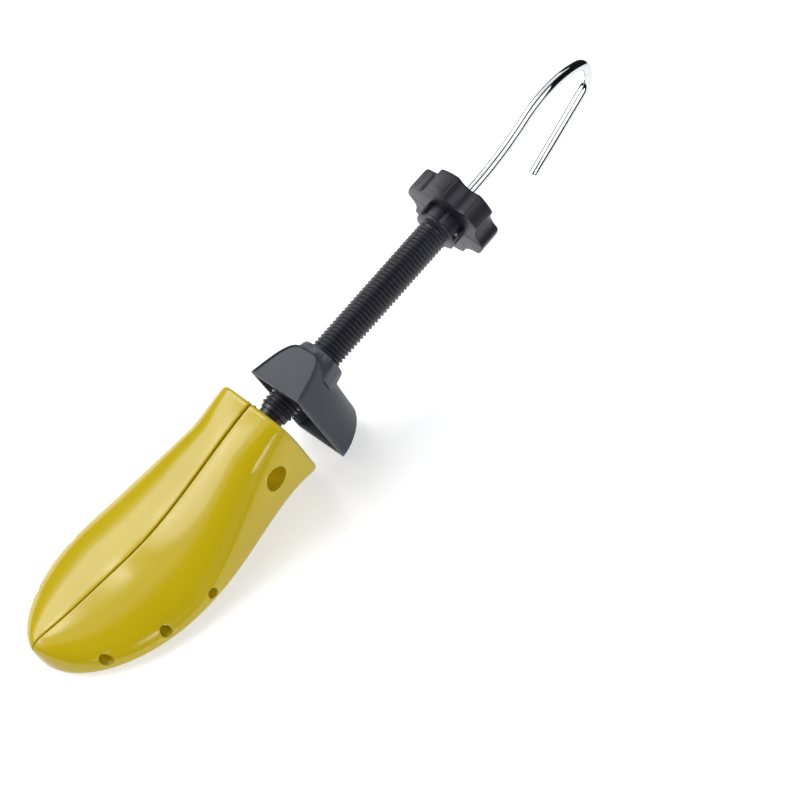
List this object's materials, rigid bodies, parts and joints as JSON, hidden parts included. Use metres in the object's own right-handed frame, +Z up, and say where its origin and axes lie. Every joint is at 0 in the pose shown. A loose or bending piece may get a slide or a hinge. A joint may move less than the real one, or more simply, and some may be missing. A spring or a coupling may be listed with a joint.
{
  "type": "shoe stretcher",
  "caption": "Shoe stretcher with a split last, a heel block on a long screw with a star knob, and a hook handle that spreads the last.",
  "frame": {"origin": "on the sole plane and the split plane, under the point where the screw axis meets the rear face of the last", "axes": "+X from the toe to the knob, +Y towards the left half, +Z up from the sole"},
  "size_m": [0.3526, 0.0698, 0.0925],
  "materials": {
    "last_yellow": "moulded, glossy",
    "heel_grey": "moulded, satin",
    "screw_black": "moulded, satin",
    "rod_chrome": "polished",
    "pin_steel": "bright"
  },
  "bodies": {
    "core": {"yoke": "screw_black", "guide_pin_upper": "pin_steel", "guide_pin_lower": "pin_steel", "thrust_washer": "pin_steel"},
    "screw": {"length_screw": "screw_black", "star_knob": "screw_black", "knob_pin": "pin_steel", "neck_clip": "pin_steel"},
    "hook": {"hook_rod": "rod_chrome", "rod_collar": "rod_chrome", "collar_pin": "pin_steel", "rod_clip": "pin_steel", "rod_end_clip": "pin_steel"},
    "wedge_set": {"wedge": "screw_black", "wedge_nut": "pin_steel"},
    "left": {"left_last": "last_yellow"},
    "right": {"right_last": "last_yellow"},
    "heel": {"heel_block": "heel_grey"}
  },
  "joints": [
    {"name": "knob_turn", "type": "hinge", "parent": "core", "child": "screw", "pos_m": [0, 0, 0.025], "axis": [-0.9703, 0, -0.2419], "range_deg": [-1440, 12960]},
    {"name": "heel_slide", "type": "slide", "parent": "core", "child": "heel", "axis": [0.9703, 0, 0.2419], "range_m": [-0.008, 0.072]},
    {"name": "hook_turn", "type": "hinge", "parent": "core", "child": "hook", "pos_m": [0, 0, 0.025], "axis": [-0.9703, 0, -0.2419], "range_deg": [0, 5400]},
    {"name": "wedge_slide", "type": "slide", "parent": "core", "child": "wedge_set", "axis": [0.9703, 0, 0.2419], "range_m": [0, 0.012]},
    {"name": "left_spread", "type": "slide", "parent": "core", "child": "left", "axis": [0, 1, 0], "range_m": [0, 0.006]},
    {"name": "right_spread", "type": "slide", "parent": "core", "child": "right", "axis": [0, -1, 0], "range_m": [0, 0.006]}
  ],
  "couplings": [
    {"joint": "heel_slide", "follows": "knob_turn", "m_per_rad": 0.0003183},
    {"joint": "wedge_slide", "follows": "hook_turn", "m_per_rad": 0.00012732},
    {"joint": "left_spread", "follows": "hook_turn", "m_per_rad": 0.00006366},
    {"joint": "right_spread", "follows": "hook_turn", "m_per_rad": 0.00006366}
  ]
}
